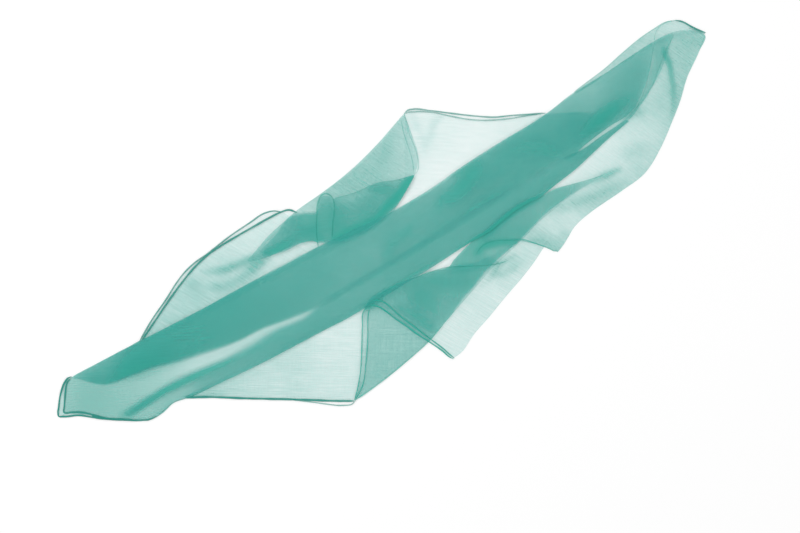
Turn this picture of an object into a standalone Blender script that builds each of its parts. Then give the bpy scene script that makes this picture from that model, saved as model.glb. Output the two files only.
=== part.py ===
"""Sheer sarong, doubled and laid flat in loose diagonal folds.

One rectangle of voile, hemmed all round, is doubled crosswise and laid down with
its middle gathered into a long diagonal roll. The roll is one rounded solid of
hidden layers, and each stretch of cloth that comes out of it is a thin wall that
lies on the ground or on the stretch below.

Frame: origin at the middle of the underside, +X along the doubled cloth's long
side, +Y along its short side, +Z up. Tables are in millimetres, the rest in metres.
"""

import math

import bpy
from mathutils import Vector

MM = 0.001

# ---- the cloth ----
CUT_LENGTH = 1.80  # the rectangle before it is doubled
CUT_WIDTH = 0.55
WALL = 1.0 * MM  # one stretch, two leaves lying together
HEM = 1.4 * MM  # its rolled edge
HEM_WIDTH = 2.6 * MM
SEAM_GAP = 0.3 * MM  # between neighbours, and between a stretch and the one under it
LEVEL = HEM + SEAM_GAP  # how far a stretch is lifted by each one under it

# ---- how a stretch steps down from the one under it ----
FLAT_PAST = 16.0 * MM  # stays up this far past the lower one's edge
SLOPE_RUN = 26.0 * MM  # then slopes to the ground over this

# ---- the roll ----
EDGE_LAYERS = 3  # layers that show as steps along each edge
LAYER_RISE = 1.0 * MM
LAYER_SETBACK = 3.2 * MM
CROWN_POINTS = 9
STATION = 15.0 * MM  # spacing of sections along every stretch
COLUMN = 15.0 * MM  # spacing of points across it

# The roll, one row a section. x, y: where the section meets the upper and the
# lower edge. crown: height of its middle. dip: depth of the valley between its two
# folds, at valley of the way across.
ROLL_COLUMNS = ("upper_x", "upper_y", "lower_x", "lower_y", "crown", "dip", "valley")
ROLL = [
    (-429, -216, -427, -219, 3.4, 0.0, 0.5),
    (-391, -196, -377, -228, 5.0, 0.0, 0.5),
    (-357, -178, -326, -239, 6.5, 0.6, 0.62),
    (-322, -161, -277, -246, 8.0, 1.6, 0.62),
    (-252, -124, -204, -214, 9.5, 2.6, 0.60),
    (-197, -93, -148, -186, 10.5, 2.8, 0.62),
    (-141, -65, -88, -155, 11.5, 2.2, 0.66),
    (-90, -39, -41, -131, 12.0, 1.2, 0.70),
    (-37, -14, 15, -97, 12.0, 0.6, 0.70),
    (12, 10, 65, -67, 12.0, 0.8, 0.60),
    (60, 40, 120, -31, 11.5, 1.0, 0.55),
    (109, 75, 169, 1, 11.0, 1.2, 0.50),
    (165, 110, 218, 33, 10.5, 1.2, 0.50),
    (213, 139, 269, 71, 10.0, 1.0, 0.50),
    (262, 174, 308, 106, 9.0, 0.6, 0.50),
    (311, 206, 348, 143, 7.5, 0.0, 0.5),
    (348, 232, 368, 178, 6.0, 0.0, 0.5),
    (373, 246, 380, 211, 4.6, 0.0, 0.5),
    (390, 253, 392, 249, 3.4, 0.0, 0.5),
]

# The stretches, one row a section. a and b: the section's two ends. hems: the
# sides with a rolled edge, of a, b, first and last. over: the stretches it lies on.
# An end that meets the roll is drawn a little inside it and is seated on its edge.
SECTION_COLUMNS = ("a_x", "a_y", "b_x", "b_y")
STRETCHES = {
    "left_end": dict(
        color=(0.235, 0.510, 0.450),
        hems=("first", "b"),
        over=(),
        rows=[
            (-445, -232, -450, -272),
            (-434, -222, -433, -273),
            (-402, -222, -402, -272),
            (-370, -220, -369, -276),
            (-336, -222, -332, -277),
            (-315, -234, -311, -268),
            (-297, -236, -294, -253),
            (-283, -239, -279, -248),
        ],
    ),
    "lower_left_panel": dict(
        color=(0.590, 0.740, 0.715),
        hems=("b",),
        over=(),
        rows=[
            (-273, -238, -269, -244),
            (-231, -219, -231, -245),
            (-183, -197, -180, -247),
            (-113, -159, -113, -251),
            (-69, -137, -69, -256),
            (-35, -120, -41, -253),
            (-16, -108, -8, -227),
            (1, -98, 28, -195),
            (17, -88, 65, -164),
            (31, -80, 87, -138),
            (44, -79, 104, -117),
            (70, -74, 123, -95),
            (94, -65, 141, -71),
            (105, -47, 161, -51),
            (120, -28, 186, -28),
            (165, 3, 206, -10),
            (218, 38, 248, 26),
            (259, 46, 281, 45),
        ],
    ),
    "wedge_fold": dict(
        color=(0.300, 0.565, 0.520),
        hems=("a",),
        over=("lower_left_panel",),
        rows=[
            (-37, -249, -31, -246),
            (-33, -228, -8, -227),
            (-28, -197, 28, -195),
            (-26, -161, 65, -164),
            (-20, -125, 87, -138),
            (-2, -99, 104, -117),
            (44, -79, 123, -95),
            (94, -65, 141, -71),
            (105, -47, 161, -51),
            (120, -28, 186, -28),
            (165, 3, 206, -10),
            (218, 38, 248, 26),
            (259, 46, 281, 45),
        ],
    ),
    "lower_flap": dict(
        color=(0.480, 0.700, 0.670),
        hems=("first",),
        over=("lower_left_panel", "wedge_fold"),
        rows=[
            (-16, -109, 99, -192),
            (2, -101, 113, -174),
            (23, -88, 130, -153),
            (44, -79, 147, -132),
            (70, -72, 172, -101),
            (95, -65, 191, -78),
            (130, -58, 206, -58),
            (165, -47, 215, -46),
            (191, -28, 222, -35),
        ],
    ),
    "upper_flap": dict(
        color=(0.500, 0.715, 0.690),
        hems=(),
        over=("lower_left_panel", "wedge_fold", "lower_flap"),
        rows=[
            (396, 250, 447, 253),
            (391, 236, 437, 232),
            (380, 211, 429, 208),
            (367, 178, 419, 181),
            (345, 143, 404, 142),
            (307, 107, 384, 97),
            (268, 71, 363, 65),
            (251, 44, 332, 42),
            (220, 19, 293, 13),
            (187, -3, 261, -19),
            (154, -26, 244, -40),
        ],
    ),
    "left_fan": dict(
        color=(0.500, 0.715, 0.690),
        hems=("a",),
        over=(),
        rows=[
            (-337, -168, -330, -170),
            (-320, -136, -301, -154),
            (-301, -104, -262, -133),
            (-270, -63, -220, -110),
            (-236, -38, -176, -87),
            (-197, -8, -138, -66),
            (-158, 15, -111, -52),
            (-117, 13, -83, -38),
        ],
    ),
    "upper_left_pleat": dict(
        color=(0.350, 0.600, 0.560),
        hems=("b",),
        over=("left_fan", "top_flag"),
        rows=[
            (-197, -58, -188, -60),
            (-162, -31, -134, -51),
            (-141, -10, -91, -42),
            (-117, 14, -60, -27),
            (-88, 36, -27, -12),
            (-58, 58, 13, 8),
            (-27, 83, 33, 39),
            (1, 110, 47, 70),
            (17, 131, 41, 104),
            (28, 149, 34, 145),
        ],
    ),
    "top_flag": dict(
        color=(0.690, 0.830, 0.815),
        hems=("a",),
        over=(),
        rows=[
            (26, 149, 9, 10),
            (56, 154, 37, 24),
            (95, 149, 70, 42),
            (137, 144, 112, 72),
            (179, 145, 165, 105),
            (206, 147, 202, 128),
            (224, 148, 224, 143),
        ],
    ),
    "right_end": dict(
        color=(0.550, 0.745, 0.725),
        hems=(),
        over=("upper_flap",),
        rows=[
            (276, 185, 279, 181),
            (311, 211, 314, 204),
            (334, 229, 342, 222),
            (359, 250, 373, 243),
            (380, 270, 393, 255),
            (395, 277, 413, 259),
            (415, 276, 428, 260),
            (432, 267, 439, 259),
            (450, 258, 447, 254),
        ],
    ),
}
ROLL_COLOR = (0.098, 0.402, 0.370)


# ---- reading the tables ----
def read(columns, rows):
    return [dict(zip(columns, row)) for row in rows]


def smooth(values, t):
    """Catmull-Rom through values, at t from 0 to len(values) - 1."""
    i = min(int(t), len(values) - 2)
    f = t - i
    p1, p2 = values[i], values[i + 1]
    p0 = values[i - 1] if i > 0 else 2 * p1 - p2
    p3 = values[i + 2] if i + 2 < len(values) else 2 * p2 - p1
    return p1 + 0.5 * f * (
        p2 - p0 + f * (2 * p0 - 5 * p1 + 4 * p2 - p3 + f * (3 * (p1 - p2) + p3 - p0))
    )


def stations(rows, columns, step):
    """Sections spaced about step apart, read smoothly from the table's rows."""
    table = read(columns, rows)
    tracks = {c: [float(r[c]) for r in table] for c in columns}
    ends = [c for c in columns if c.endswith(("_x", "_y"))]
    where = [0.0]
    for i in range(len(table) - 1):
        run = max(
            math.hypot(
                table[i + 1][ends[k]] - table[i][ends[k]],
                table[i + 1][ends[k + 1]] - table[i][ends[k + 1]],
            )
            for k in (0, 2)
        )
        parts = max(1, round(run * MM / step))
        where += [i + (k + 1) / parts for k in range(parts)]
    return [{c: smooth(tracks[c], t) for c in columns} for t in where]


# ---- plan geometry ----
def nearest(point, loop):
    """Nearest point on a closed loop, and the loop's direction there."""
    best = None
    for i, a in enumerate(loop):
        b = loop[(i + 1) % len(loop)]
        ab = b - a
        f = max(0.0, min(1.0, (point - a).dot(ab) / ab.length_squared))
        q = a + ab * f
        d = (point - q).length
        if best is None or d < best[0]:
            best = (d, q, ab.normalized())
    return best


def inside(point, loop):
    hit = False
    for i, a in enumerate(loop):
        b = loop[(i + 1) % len(loop)]
        if (a.y > point.y) != (b.y > point.y):
            if point.x < a.x + (point.y - a.y) / (b.y - a.y) * (b.x - a.x):
                hit = not hit
    return hit


def outward(point, loop):
    """Signed distance from a loop (positive outside), its nearest point and normal."""
    d, q, along = nearest(point, loop)
    normal = Vector((along.y, -along.x))
    if inside(q + normal * 1e-5, loop):
        normal = -normal
    return (-d if inside(point, loop) else d), q, normal


def seat(point, loop, gap):
    """A point kept at least gap outside a loop."""
    d, q, normal = outward(point, loop)
    return q + normal * gap if d < gap else point


def seat_edge(points, loop, gap):
    """An edge kept gap outside a loop all along, between its points too."""
    points = [seat(p, loop, gap) for p in points]
    for _ in range(4):
        for i in range(len(points) - 1):
            for f in (0.25, 0.5, 0.75):
                d, _q, normal = outward(points[i].lerp(points[i + 1], f), loop)
                if d < 0.8 * gap:
                    points[i] = points[i] + normal * (gap - d)
                    points[i + 1] = points[i + 1] + normal * (gap - d)
    return points


# ---- materials and objects ----
def cloth_material(name, color):
    m = bpy.data.materials.new(name)
    m.use_nodes = True
    b = m.node_tree.nodes["Principled BSDF"]
    b.inputs["Base Color"].default_value = (*color, 1.0)
    b.inputs["Roughness"].default_value = 0.6
    b.inputs["Metallic"].default_value = 0.0
    m.diffuse_color = (*color, 1.0)
    return m


def mesh_object(name, verts, faces, color, collection):
    mesh = bpy.data.meshes.new(name)
    mesh.from_pydata(verts, [], faces)
    mesh.materials.append(cloth_material(name + "_cloth", color))
    mesh.shade_smooth()
    mesh.set_sharp_from_angle(angle=math.radians(35))
    obj = bpy.data.objects.new(name, mesh)
    collection.objects.link(obj)
    return obj


# ---- the roll of hidden layers ----
def roll_section(row):
    """One closed section: flat underside, a step for each layer, a rounded crown."""
    a = Vector((row["upper_x"], row["upper_y"])) * MM
    b = Vector((row["lower_x"], row["lower_y"])) * MM
    width = (b - a).length
    set_back = min(LAYER_SETBACK, width * 0.09)
    steps = [(0.0, 0.0)]
    for k in range(EDGE_LAYERS):
        steps.append((k * set_back, (k + 0.85) * LAYER_RISE))
        steps.append(((k + 0.9) * set_back, (k + 1.0) * LAYER_RISE))
    shoulder_u, shoulder_z = steps[-1]
    crown = max(row["crown"] * MM, shoulder_z + 0.3 * MM)
    profile = [(u, z) for u, z in steps]
    inner = width - 2 * shoulder_u
    for k in range(1, CROWN_POINTS):
        f = k / CROWN_POINTS
        lift = math.sin(math.pi * f) ** 0.7
        valley = math.exp(-(((f - row["valley"]) / 0.11) ** 2))
        z = shoulder_z + (crown - shoulder_z) * lift - row["dip"] * MM * valley
        profile.append((shoulder_u + inner * f, z))
    profile += [(width - u, z) for u, z in reversed(steps)]
    across = (b - a) / width
    return [Vector((*(a + across * u), z)) for u, z in profile]


def build_roll(collection):
    rows = stations(ROLL, ROLL_COLUMNS, STATION)
    sections = [roll_section(r) for r in rows]
    n = len(sections[0])
    verts = [v for s in sections for v in s]
    faces = []
    for i in range(len(sections) - 1):
        for k in range(n):
            a, b = i * n + k, i * n + (k + 1) % n
            faces.append((a, b, b + n, a + n))
    faces.append(tuple(reversed(range(n))))
    faces.append(tuple(len(verts) - n + k for k in range(n)))
    outline = [Vector(s[0].xy) for s in sections] + [
        Vector(s[-1].xy) for s in reversed(sections)
    ]
    return mesh_object("body_band", verts, faces, ROLL_COLOR, collection), outline


# ---- the stretches that come out of it ----
def across_fractions(width, hem_a, hem_b):
    """Places across a section, with one more beside each rolled edge."""
    count = max(2, round(width / COLUMN))
    places = [k / count for k in range(count + 1)]
    strip = HEM_WIDTH / max(width, 5 * HEM_WIDTH)
    if hem_a:
        places.insert(1, strip)
    if hem_b:
        places.insert(len(places) - 1, 1 - strip)
    return places


def drape_height(point, lower_loops):
    """How far the stretches below lift this point."""
    lift = 0.0
    for loop in lower_loops:
        d = outward(point, loop)[0]
        f = max(0.0, min(1.0, 1 - (d - FLAT_PAST) / SLOPE_RUN))
        lift += LEVEL * f * f * (3 - 2 * f)
    return lift


def build_stretch(name, spec, roll_outline, outlines, collection):
    rows = stations(spec["rows"], SECTION_COLUMNS, STATION)
    sides = [
        seat_edge(
            [Vector((r[end + "_x"], r[end + "_y"])) * MM for r in rows],
            roll_outline,
            SEAM_GAP,
        )
        for end in ("a", "b")
    ]
    ends = list(zip(*sides))
    hems = spec["hems"]
    widest = max((b - a).length for a, b in ends)
    places = across_fractions(widest, "a" in hems, "b" in hems)
    thick = {0: "a" in hems, len(places) - 1: "b" in hems}
    below = [outlines[k] for k in spec["over"]]
    count = len(places)
    verts, beads = [], []
    for i, (a, b) in enumerate(ends):
        for k, f in enumerate(places):
            p = a.lerp(b, f)
            verts.append((p.x, p.y, drape_height(p, below)))
            end_hem = (i == 0 and "first" in hems) or (i == len(ends) - 1 and "last" in hems)
            beads.append(thick.get(k, False) or end_hem)
    faces = []
    for i in range(len(ends) - 1):
        for k in range(count - 1):
            c = i * count + k
            faces.append((c, c + 1, c + count + 1, c + count))
    loop = [a for a, b in ends] + [b for a, b in reversed(ends)]
    if sum(p.cross(q) for p, q in zip(loop, loop[1:] + loop[:1])) > 0:
        faces = [tuple(reversed(f)) for f in faces]
    obj = mesh_object(name, verts, faces, spec["color"], collection)
    group = obj.vertex_groups.new(name="cloth_thickness")
    for i, bead in enumerate(beads):
        group.add([i], 1.0 if bead else WALL / HEM, "REPLACE")
    wall = obj.modifiers.new("wall", "SOLIDIFY")
    wall.thickness = HEM
    wall.offset = 1.0
    wall.vertex_group = group.name
    wall.use_rim = True
    return obj, loop


def main():
    for obj in list(bpy.data.objects):
        bpy.data.objects.remove(obj, do_unlink=True)
    collection = bpy.data.collections.new("sarong")
    bpy.context.scene.collection.children.link(collection)
    roll, roll_outline = build_roll(collection)
    outlines = {}
    order = (
        "left_end",
        "left_fan",
        "top_flag",
        "lower_left_panel",
        "wedge_fold",
        "upper_left_pleat",
        "lower_flap",
        "upper_flap",
        "right_end",
    )
    for name in order:
        _, outlines[name] = build_stretch(
            name, STRETCHES[name], roll_outline, outlines, collection
        )


main()
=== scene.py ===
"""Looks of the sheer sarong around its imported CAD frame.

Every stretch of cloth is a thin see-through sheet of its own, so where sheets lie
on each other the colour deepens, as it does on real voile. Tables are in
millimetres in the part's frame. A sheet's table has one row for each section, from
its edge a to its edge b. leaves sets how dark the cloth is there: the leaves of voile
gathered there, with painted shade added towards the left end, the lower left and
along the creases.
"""

import math

import bpy
import numpy as np
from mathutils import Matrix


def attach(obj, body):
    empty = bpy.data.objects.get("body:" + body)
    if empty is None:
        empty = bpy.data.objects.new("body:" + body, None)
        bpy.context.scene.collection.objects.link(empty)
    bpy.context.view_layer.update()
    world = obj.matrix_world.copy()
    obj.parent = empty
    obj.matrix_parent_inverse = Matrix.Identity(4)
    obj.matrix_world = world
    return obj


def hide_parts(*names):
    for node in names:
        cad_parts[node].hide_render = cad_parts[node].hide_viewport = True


MM = 0.001
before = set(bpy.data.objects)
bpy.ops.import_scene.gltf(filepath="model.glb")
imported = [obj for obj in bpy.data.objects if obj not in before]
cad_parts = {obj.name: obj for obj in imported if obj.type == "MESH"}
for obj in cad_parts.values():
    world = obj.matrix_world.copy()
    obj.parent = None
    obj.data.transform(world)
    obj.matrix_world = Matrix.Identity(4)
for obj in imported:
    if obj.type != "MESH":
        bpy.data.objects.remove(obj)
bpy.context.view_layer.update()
STEP = 2.3  # mesh spacing, mm

# ---------------------------------------------------------------- camera, light, floor
SCENE = bpy.context.scene
CAMERA_HEIGHT = 2.2
VIEW_WIDTH = 1.112  # metres across the picture on the floor
cam_data = bpy.data.cameras.new("Camera")
cam = bpy.data.objects.new("Camera", cam_data)
SCENE.collection.objects.link(cam)
cam.location = (0.0257, -0.0646, CAMERA_HEIGHT)
cam.rotation_euler = (0.0, 0.0, 0.0)
cam_data.sensor_fit = "HORIZONTAL"
cam_data.sensor_width = 36.0
cam_data.lens = 36.0 * CAMERA_HEIGHT / VIEW_WIDTH
cam_data.clip_end = 50.0
SCENE.camera = cam

SCENE.view_settings.view_transform = "Standard"
SCENE.view_settings.look = "None"
SCENE.cycles.transparent_max_bounces = 40
SCENE.cycles.max_bounces = 14

world = bpy.data.worlds.new("Studio")
SCENE.world = world
world.use_nodes = True
world.node_tree.nodes["Background"].inputs["Color"].default_value = (1.0, 1.0, 1.0, 1.0)
world.node_tree.nodes["Background"].inputs["Strength"].default_value = 0.80


def softbox(name, place, size, power):
    data = bpy.data.lights.new(name, "AREA")
    data.shape = "SQUARE"
    data.size = size
    data.energy = power
    lamp = bpy.data.objects.new(name, data)
    SCENE.collection.objects.link(lamp)
    lamp.location = place
    aim = -np.array(place, float)
    lamp.rotation_euler = (
        math.acos(-aim[2] / np.linalg.norm(aim)),
        0.0,
        math.atan2(aim[1], aim[0]) - math.pi / 2,
    )
    return lamp


softbox("Softbox_key", (-1.9, 1.6, 2.9), 2.4, 48.5)
softbox("Softbox_fill", (2.2, -1.4, 3.1), 2.6, 17.5)

bpy.ops.mesh.primitive_plane_add(size=6.0, location=(0, 0, 0))
floor = bpy.context.active_object
floor.name = "Floor"
floor_mat = bpy.data.materials.new("Floor_white")
floor_mat.use_nodes = True
fb = floor_mat.node_tree.nodes["Principled BSDF"]
fb.inputs["Base Color"].default_value = (0.93, 0.93, 0.93, 1.0)
fb.inputs["Roughness"].default_value = 0.95
fb.inputs["Specular IOR Level"].default_value = 0.0
floor.data.materials.append(floor_mat)

# ---------------------------------------------------------------- cloth material
LEAF = 0.072  # optical depth of one leaf of voile
DYE = (0.074, 0.545, 0.492)
DEEP = (0.028, 0.362, 0.286)  # the dye's colour where light goes through many leaves


def cloth_material(name, dye=DYE, deep=DEEP, slub=1.0, fine=0.3, leaf=LEAF, thread=0.0012):
    m = bpy.data.materials.new(name)
    m.use_nodes = True
    nt = m.node_tree
    for n in list(nt.nodes):
        nt.nodes.remove(n)
    link = nt.links.new

    def node(kind, **values):
        n = nt.nodes.new(kind)
        for key, value in values.items():
            setattr(n, key, value)
        return n

    def math_node(op, a, b=None, c=None):
        n = node("ShaderNodeMath", operation=op)
        for i, v in enumerate((a, b, c)):
            if v is None:
                continue
            if isinstance(v, (int, float)):
                n.inputs[i].default_value = v
            else:
                link(v, n.inputs[i])
        return n.outputs[0]

    out = node("ShaderNodeOutputMaterial")
    bsdf = node("ShaderNodeBsdfPrincipled")
    link(bsdf.outputs[0], out.inputs["Surface"])
    grain = node("ShaderNodeAttribute", attribute_name="grain").outputs["Vector"]
    leaves = node("ShaderNodeAttribute", attribute_name="leaves").outputs["Fac"]

    def streaks(along, across, detail, seed):
        """Noise drawn out along the thread: along and across are sizes in metres."""
        scale = node("ShaderNodeMapping")
        scale.inputs["Scale"].default_value = (1 / along, 1 / across, 1.0)
        scale.inputs["Location"].default_value = (seed, seed * 1.7, 0.0)
        link(grain, scale.inputs["Vector"])
        noise = node("ShaderNodeTexNoise", noise_dimensions="2D")
        noise.inputs["Scale"].default_value = 1.0
        noise.inputs["Detail"].default_value = detail
        noise.inputs["Roughness"].default_value = 0.6
        link(scale.outputs[0], noise.inputs["Vector"])
        return math_node("SUBTRACT", noise.outputs["Fac"], 0.5)

    slub_weft = streaks(0.030, thread, 2.0, 3.1)
    slub_long = streaks(0.100, 0.0029, 2.0, 8.3)
    slub_warp = streaks(0.0014, 0.026, 2.0, 14.9)
    slub_fine = streaks(0.0060, 0.0014, 2.0, 23.7)
    cloudy = streaks(0.060, 0.045, 2.0, 21.7)

    weave_map = node("ShaderNodeSeparateXYZ")
    link(grain, weave_map.inputs[0])
    threads = []
    for axis, pitch in (("X", 0.00062), ("Y", 0.00055)):
        wave = math_node(
            "SINE", math_node("MULTIPLY", weave_map.outputs[axis], 2 * math.pi / pitch)
        )
        threads.append(wave)
    weave = math_node("MAXIMUM", threads[0], threads[1])

    amount = math_node("MULTIPLY", slub_weft, 1.15 * slub)
    amount = math_node("MULTIPLY_ADD", slub_long, 0.52 * slub, amount)
    amount = math_node("MULTIPLY_ADD", slub_warp, 0.42 * slub, amount)
    amount = math_node("MULTIPLY_ADD", slub_fine, fine, amount)
    amount = math_node("MULTIPLY_ADD", cloudy, 0.12 + 0.14 * slub, amount)
    amount = math_node("MULTIPLY_ADD", weave, 0.10, amount)
    # Many leaves even each other's threads out.
    calm = math_node("MINIMUM", math_node("POWER", math_node("DIVIDE", 7.8, leaves), 2.0), 1.0)
    amount = math_node("MULTIPLY_ADD", amount, calm, 1.0)
    amount = math_node("MAXIMUM", amount, 0.15)
    depth = math_node("MULTIPLY", math_node("MULTIPLY", leaves, amount), -leaf)
    through = math_node("POWER", math.e, depth)
    alpha = math_node("SUBTRACT", 1.0, through)
    link(alpha, bsdf.inputs["Alpha"])

    tone = node("ShaderNodeMixRGB", blend_type="MIX")
    tone.inputs["Color1"].default_value = (*deep, 1.0)
    tone.inputs["Color2"].default_value = (*dye, 1.0)
    link(through, tone.inputs["Fac"])
    shade = node("ShaderNodeVectorMath", operation="SCALE")
    link(tone.outputs[0], shade.inputs[0])
    link(math_node("MULTIPLY_ADD", slub_weft, 0.16, 1.0), shade.inputs["Scale"])
    link(shade.outputs[0], bsdf.inputs["Base Color"])
    bsdf.inputs["Roughness"].default_value = 0.62
    bsdf.inputs["Specular IOR Level"].default_value = 0.18
    bsdf.inputs["Sheen Weight"].default_value = 0.10
    bsdf.inputs["Sheen Roughness"].default_value = 0.45

    bump = node("ShaderNodeBump")
    bump.inputs["Strength"].default_value = 0.35
    bump.inputs["Distance"].default_value = 0.00012
    height = math_node("MULTIPLY_ADD", weave, 0.5, math_node("MULTIPLY", slub_weft, 2.0))
    link(height, bump.inputs["Height"])
    link(bump.outputs[0], bsdf.inputs["Normal"])
    return m


CLOTH = cloth_material("voile")
DOUBLED_CLOTH = cloth_material("voile_doubled", slub=0.65, fine=0.65)
BIAS_CLOTH = cloth_material("voile_bias", slub=1.0, fine=0.3, thread=0.0020)
FOLDED_CLOTH = cloth_material("voile_folded", slub=0.42, fine=0.1, thread=0.0021)
BAND_CLOTH = cloth_material("voile_gathered", slub=0.25, fine=0.2)
HEM_CLOTH = cloth_material("voile_hem", (0.045, 0.410, 0.345), (0.020, 0.245, 0.200), slub=0.5)
FOLDED_HEM_CLOTH = cloth_material("voile_folded_hem", (0.045, 0.500, 0.410), (0.020, 0.360, 0.285), slub=0.4)


# ---------------------------------------------------------------- curves and sheets
def smooth_through(points, where, at):
    """Cubic curve through points, whose places along it are where, read at at."""
    points, where, at = np.asarray(points, float), np.asarray(where), np.asarray(at)
    h = np.diff(where)
    slope = np.diff(points, axis=0) / h[:, None]
    tangent = np.empty_like(points)
    tangent[0], tangent[-1] = slope[0], slope[-1]
    for i in range(1, len(points) - 1):
        tangent[i] = (slope[i - 1] * h[i] + slope[i] * h[i - 1]) / (h[i] + h[i - 1])
    i = np.clip(np.searchsorted(where, at, side="right") - 1, 0, len(h) - 1)
    f = ((at - where[i]) / h[i])[:, None]
    hi = h[i][:, None]
    return (
        (2 * f**3 - 3 * f**2 + 1) * points[i]
        + (f**3 - 2 * f**2 + f) * hi * tangent[i]
        + (-2 * f**3 + 3 * f**2) * points[i + 1]
        + (f**3 - f**2) * hi * tangent[i + 1]
    )


def places(points):
    """Distance along a run of points, at each of them."""
    run = np.linalg.norm(np.diff(np.asarray(points, float), axis=0), axis=1)
    return np.concatenate([[0], np.cumsum(np.maximum(run, 0.4))])


def resample(points, step, columns=2):
    """Points every step along a smooth line; the first columns are its place."""
    points = np.asarray(points, float)
    where = places(points[:, :columns])
    at = np.linspace(0, where[-1], max(2, int(math.ceil(where[-1] / step)) + 1))
    return smooth_through(points, where, at)


def distance_outside(xy, loop):
    """Signed distance of each point from a closed loop, positive outside it."""
    a, b = loop, np.roll(loop, -1, axis=0)
    best = np.full(len(xy), 1e9)
    inside = np.zeros(len(xy), bool)
    for p, q in zip(a, b):
        d = q - p
        f = np.clip(((xy - p) @ d) / max(d @ d, 1e-9), 0, 1)
        best = np.minimum(best, np.hypot(*(xy - p - f[:, None] * d).T))
        if p[1] != q[1]:
            cross = (p[1] > xy[:, 1]) != (q[1] > xy[:, 1])
            inside ^= cross & (
                xy[:, 0] < p[0] + (xy[:, 1] - p[1]) / (q[1] - p[1]) * (q[0] - p[0])
            )
    return np.where(inside, -best, best)


def crease_weight(xy, crease):
    """For each point, how much it lies in a crease, and the crease's size there.
    A crease's rows are x, y, reach to its left, reach to its right, leaves, lift. Its leaves are partly gathered cloth,
    partly painted fold shade."""
    line = resample(crease, 2.0)
    d2 = np.full(len(xy), 1e18)
    near = np.zeros(len(xy), int)
    for i, p in enumerate(line):
        d = (xy[:, 0] - p[0]) ** 2 + (xy[:, 1] - p[1]) ** 2
        closer = d < d2
        d2[closer], near[closer] = d[closer], i
    along = np.gradient(line[:, :2], axis=0)
    t = along[near]
    off = xy - line[near, :2]
    left = t[:, 0] * off[:, 1] - t[:, 1] * off[:, 0] > 0
    reach = np.where(left, line[near, 2], line[near, 3])
    weight = np.exp(-d2 / np.maximum(reach, 0.3) ** 2)
    return weight * line[near, 4], weight * line[near, 5]


SWELLS = (  # length, angle, height, shift: the slow waves that all the layers share
    (118.0, 118.0, 0.50, 0.4),
    (71.0, 141.0, 0.34, 2.1),
    (163.0, 83.0, 0.45, 4.4),
    (46.0, 127.0, 0.16, 1.3),
)


# The outline of the whole cloth, where it comes down to the surface.
WHOLE = np.array([
    (-449, -272.5), (-447, -243), (-441.5, -228), (-429, -216), (-398, -200), (-366.5, -183.5), (-336.5, -169), (-320.5, -139),
    (-299.5, -108.5), (-285.5, -85), (-263.5, -61), (-242, -45), (-210.5, -21.5), (-183, -3), (-163.5, 9.5), (-151, 13),
    (-117.5, 13), (-88.5, 34), (-57.5, 56.5), (-28.5, 82), (-2, 109), (17.5, 130), (31.5, 148),
    (43, 154.5), (67.5, 152), (98.5, 147.5), (130, 144.5), (158, 143.5), (178.5, 145), (206.5, 148), (228.5, 149.5),
    (248, 164), (267.5, 178), (290, 194), (310.5, 209), (334.5, 227.5), (359.5, 249.5), (377.5, 267), (394, 276.5), (408, 278),
    (431.5, 267), (449, 259), (440, 233), (424.5, 197.5), (415, 167), (404, 138.5), (388.5, 101.5), (365.5, 65.5),
    (334.5, 41), (291, 11), (269, -8.5), (251.5, -36), (245.5, -43), (221.5, -44), (209, -62), (196, -79),
    (176.5, -101.5), (151, -132), (128.5, -158.5), (112, -183.5), (100, -192.5), (81.5, -179.5), (67.5, -167), (31.5, -199),
    (-6.5, -229), (-34, -250), (-40.5, -255.5), (-54, -257.5), (-78.5, -255.5), (-113.5, -250), (-183, -247.5), (-245.5, -245.5),
    (-270.5, -246.5), (-287, -253), (-299.5, -262), (-312, -273), (-326, -278.5), (-349.5, -278), (-377.5, -276.5), (-394, -274.5),
    (-444, -273),
])


def swell(xy):
    z = np.zeros(len(xy))
    for length, angle, height, shift in SWELLS:
        a = math.radians(angle)
        s = (xy[:, 0] * math.cos(a) + xy[:, 1] * math.sin(a)) / length
        z += height * (1 + np.sin(2 * math.pi * s + shift))
    f = np.clip(-distance_outside(xy, WHOLE) / 20.0, 0, 1)
    return z * (0.08 + 0.92 * f * f * (3 - 2 * f))


GROUND = 0.45  # lowest cloth, mm
LAYER = 0.42  # each layer below lifts by this, mm
OUTLINES = {}


def lie(xy, over):
    """Height of cloth lying on the ground and on the sheets named in over."""
    z = GROUND + swell(xy)
    for name in over:
        d = distance_outside(xy, OUTLINES[name])
        f = np.clip(1 - (d - 1.5) / 14.0, 0, 1)
        z += LAYER * f * f * (3 - 2 * f)
    return z


def mesh_piece(name, verts, faces, leaves, grain, material):
    mesh = bpy.data.meshes.new(name)
    mesh.from_pydata(verts.tolist(), [], faces)
    for attribute, kind, values in (
        ("leaves", "FLOAT", leaves.astype(np.float32)),
        ("grain", "FLOAT_VECTOR", grain.astype(np.float32).ravel()),
    ):
        data = mesh.attributes.new(attribute, kind, "POINT").data
        data.foreach_set("value" if kind == "FLOAT" else "vector", values)
    mesh.materials.append(material)
    mesh.shade_smooth()
    mesh.validate()
    obj = bpy.data.objects.new(name, mesh)
    SCENE.collection.objects.link(obj)
    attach(obj, "root")
    return obj


def grain_of(xy, angle):
    """Coordinates in metres along and across the thread."""
    a = math.radians(angle)
    u = xy[:, 0] * math.cos(a) + xy[:, 1] * math.sin(a)
    v = -xy[:, 0] * math.sin(a) + xy[:, 1] * math.cos(a)
    return np.stack([u * MM, v * MM, np.zeros(len(u))], axis=1)


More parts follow.
